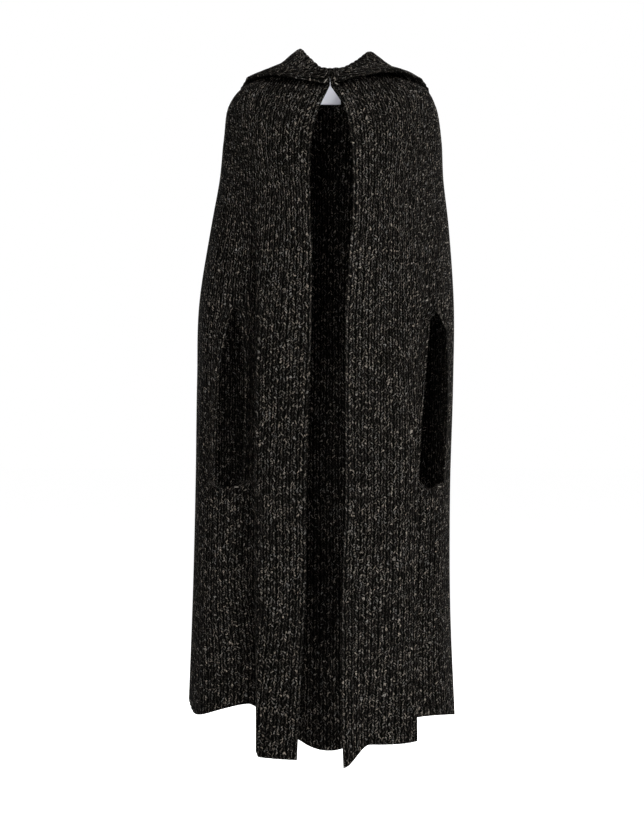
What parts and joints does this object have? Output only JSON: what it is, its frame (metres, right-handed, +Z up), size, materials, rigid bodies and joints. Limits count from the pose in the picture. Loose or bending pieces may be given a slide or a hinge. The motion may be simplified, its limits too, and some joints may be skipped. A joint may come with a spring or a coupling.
{
  "type": "hooded knitted cape",
  "caption": "Full-length open-front cape in chunky rib knit with arm slits at the side fronts and a big hood folded down over the shoulders, held at the throat.",
  "frame": {"origin": "middle of the neck base, where the wearer's shoulders carry the cape", "axes": "+Z up the wearer's body, the open front faces -Y, +X to the right of a viewer in front"},
  "size_m": [0.5182, 0.4078, 1.3971],
  "materials": {
    "back_knit": "matte black, beige and grey marled rib knit",
    "left_knit": "matte black, beige and grey marled rib knit",
    "right_knit": "matte black, beige and grey marled rib knit",
    "hood_knit": "matte black, beige and grey marled rib knit",
    "label_satin": "bare white satin",
    "fastener_metal": "black coated wire"
  },
  "bodies": {
    "root": {"back": "back_knit", "front_left": "left_knit", "front_right": "right_knit", "hood": "hood_knit", "label": "label_satin", "neck_hook": "fastener_metal", "neck_eye": "fastener_metal"}
  },
  "joints": []
}
